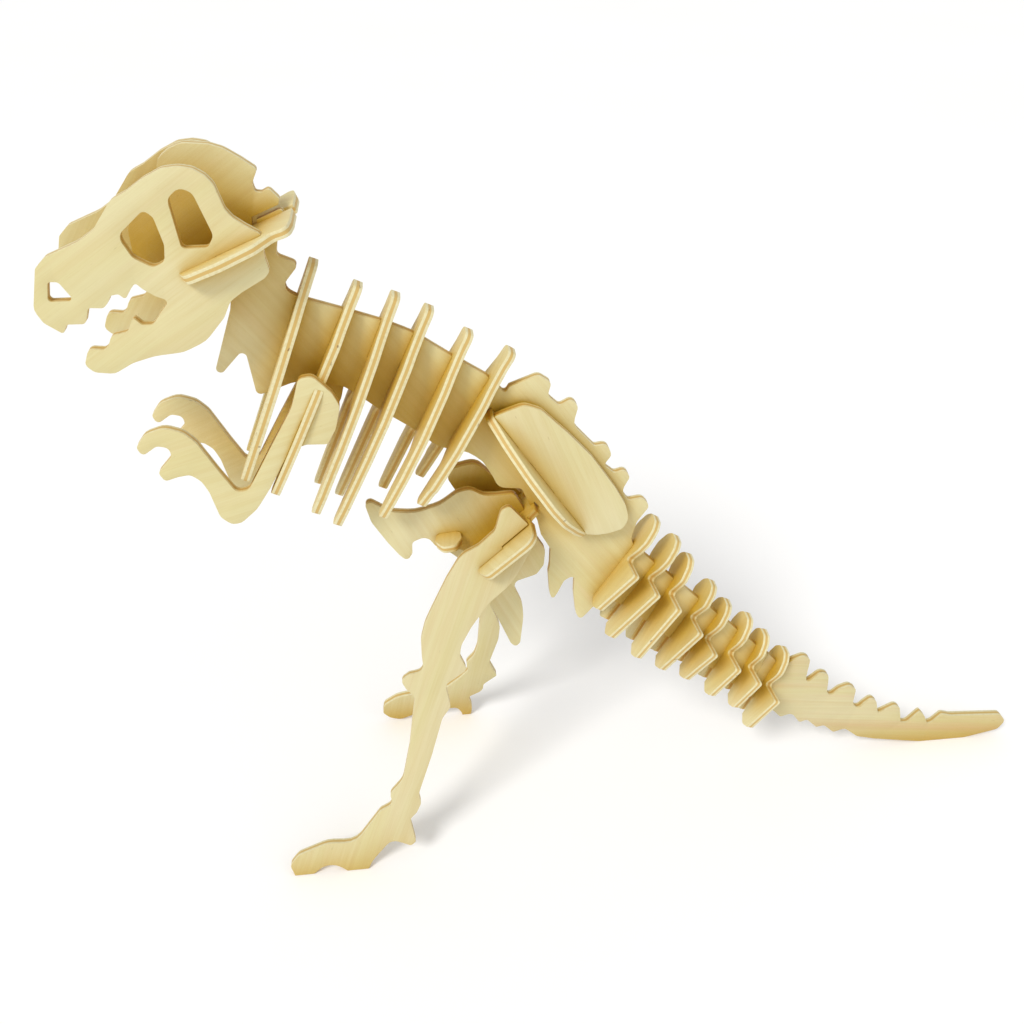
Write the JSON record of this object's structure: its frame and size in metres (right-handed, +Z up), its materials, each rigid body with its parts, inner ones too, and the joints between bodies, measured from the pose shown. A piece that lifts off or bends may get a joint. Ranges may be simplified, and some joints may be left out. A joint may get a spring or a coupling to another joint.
{
  "type": "wooden 3d jigsaw model",
  "caption": "Flat-pack plywood puzzle of a walking two-legged dinosaur skeleton: slotted ribs, tail vertebrae, skull plates, splayed legs and a curved tail.",
  "frame": {"origin": "on the ground under the middle of the body, in the plane of the spine", "axes": "+X from nose to tail tip, +Z up, the dinosaur's left side faces -Y"},
  "size_m": [0.375, 0.085, 0.2825],
  "materials": {
    "ply": "bare sanded plywood",
    "pale_ply": "bare sanded plywood, paler sheet"
  },
  "bodies": {
    "frame": {"spine": "ply", "tail_end": "pale_ply", "hip_plate": "ply", "rib_2": "ply", "arm_left": "ply", "arm_right": "ply"},
    "rib_1": {"rib_1": "ply"},
    "rib_3": {"rib_3": "ply"},
    "rib_4": {"rib_4": "ply"},
    "rib_5": {"rib_5": "ply"},
    "rib_6": {"rib_6": "ply"},
    "vertebra_1": {"vertebra_1": "ply"},
    "vertebra_2": {"vertebra_2": "ply"},
    "vertebra_3": {"vertebra_3": "ply"},
    "vertebra_4": {"vertebra_4": "ply"},
    "vertebra_5": {"vertebra_5": "ply"},
    "vertebra_6": {"vertebra_6": "ply"},
    "vertebra_7": {"vertebra_7": "ply"},
    "vertebra_8": {"vertebra_8": "ply"},
    "cheek_plate": {"cheek_plate": "ply"},
    "skull_left": {"skull_left": "ply"},
    "skull_right": {"skull_right": "ply"},
    "skull_middle": {"skull_middle": "ply"},
    "hip_leaf_left": {"hip_leaf_left": "ply"},
    "hip_leaf_right": {"hip_leaf_right": "ply"},
    "thigh_plate": {"thigh_plate": "ply"},
    "pelvis": {"pelvis": "ply", "pubis_bar": "ply"},
    "leg_left": {"leg_left": "ply"},
    "leg_right": {"leg_right": "ply"}
  },
  "joints": [
    {"name": "rib_1_slide", "type": "slide", "parent": "frame", "child": "rib_1", "axis": [0.3907, 0, 0.9205], "range_m": [0, 0.02]},
    {"name": "rib_3_slide", "type": "slide", "parent": "frame", "child": "rib_3", "axis": [0.4019, 0, 0.9157], "range_m": [0, 0.02]},
    {"name": "rib_4_slide", "type": "slide", "parent": "frame", "child": "rib_4", "axis": [0.4352, 0, 0.9003], "range_m": [0, 0.02]},
    {"name": "rib_5_slide", "type": "slide", "parent": "frame", "child": "rib_5", "axis": [0.454, 0, 0.891], "range_m": [0, 0.02]},
    {"name": "rib_6_slide", "type": "slide", "parent": "frame", "child": "rib_6", "axis": [0.5299, 0, 0.848], "range_m": [0, 0.02]},
    {"name": "vertebra_1_slide", "type": "slide", "parent": "frame", "child": "vertebra_1", "axis": [0.5225, 0, 0.8526], "range_m": [0, 0.016]},
    {"name": "vertebra_2_slide", "type": "slide", "parent": "frame", "child": "vertebra_2", "axis": [0.5225, 0, 0.8526], "range_m": [0, 0.016]},
    {"name": "vertebra_3_slide", "type": "slide", "parent": "frame", "child": "vertebra_3", "axis": [0.4067, 0, 0.9136], "range_m": [0, 0.016]},
    {"name": "vertebra_4_slide", "type": "slide", "parent": "frame", "child": "vertebra_4", "axis": [0.4695, 0, 0.8829], "range_m": [0, 0.016]},
    {"name": "vertebra_5_slide", "type": "slide", "parent": "frame", "child": "vertebra_5", "axis": [0.4384, 0, 0.8988], "range_m": [0, 0.016]},
    {"name": "vertebra_6_slide", "type": "slide", "parent": "frame", "child": "vertebra_6", "axis": [0.3665, 0, 0.9304], "range_m": [0, 0.016]},
    {"name": "vertebra_7_slide", "type": "slide", "parent": "frame", "child": "vertebra_7", "axis": [0.309, 0, 0.9511], "range_m": [0, 0.016]},
    {"name": "vertebra_8_slide", "type": "slide", "parent": "frame", "child": "vertebra_8", "axis": [0.342, 0, 0.9397], "range_m": [0, 0.016]},
    {"name": "head_slide", "type": "slide", "parent": "frame", "child": "cheek_plate", "axis": [-0.9232, 0, -0.3843], "range_m": [0, 0.022]},
    {"name": "skull_left_slide", "type": "slide", "parent": "cheek_plate", "child": "skull_left", "axis": [-0.9232, 0, -0.3843], "range_m": [0, 0.014]},
    {"name": "skull_right_slide", "type": "slide", "parent": "cheek_plate", "child": "skull_right", "axis": [-0.9232, 0, -0.3843], "range_m": [0, 0.014]},
    {"name": "skull_middle_slide", "type": "slide", "parent": "cheek_plate", "child": "skull_middle", "axis": [-0.9232, 0, -0.3843], "range_m": [0, 0.01]},
    {"name": "hip_leaf_left_slide", "type": "slide", "parent": "frame", "child": "hip_leaf_left", "axis": [0.8377, 0, 0.5461], "range_m": [0, 0.006]},
    {"name": "hip_leaf_right_slide", "type": "slide", "parent": "frame", "child": "hip_leaf_right", "axis": [0.8377, 0, 0.5461], "range_m": [0, 0.006]},
    {"name": "hip_slide", "type": "slide", "parent": "frame", "child": "thigh_plate", "axis": [-0.7793, 0, -0.6266], "range_m": [0, 0.006]},
    {"name": "pelvis_slide", "type": "slide", "parent": "thigh_plate", "child": "pelvis", "axis": [-0.7793, 0, -0.6266], "range_m": [0, 0.014]},
    {"name": "leg_left_slide", "type": "slide", "parent": "thigh_plate", "child": "leg_left", "axis": [-0.7731, -0.1265, -0.6216], "range_m": [0, 0.014]},
    {"name": "leg_right_slide", "type": "slide", "parent": "thigh_plate", "child": "leg_right", "axis": [-0.7731, 0.1265, -0.6216], "range_m": [0, 0.014]}
  ]
}
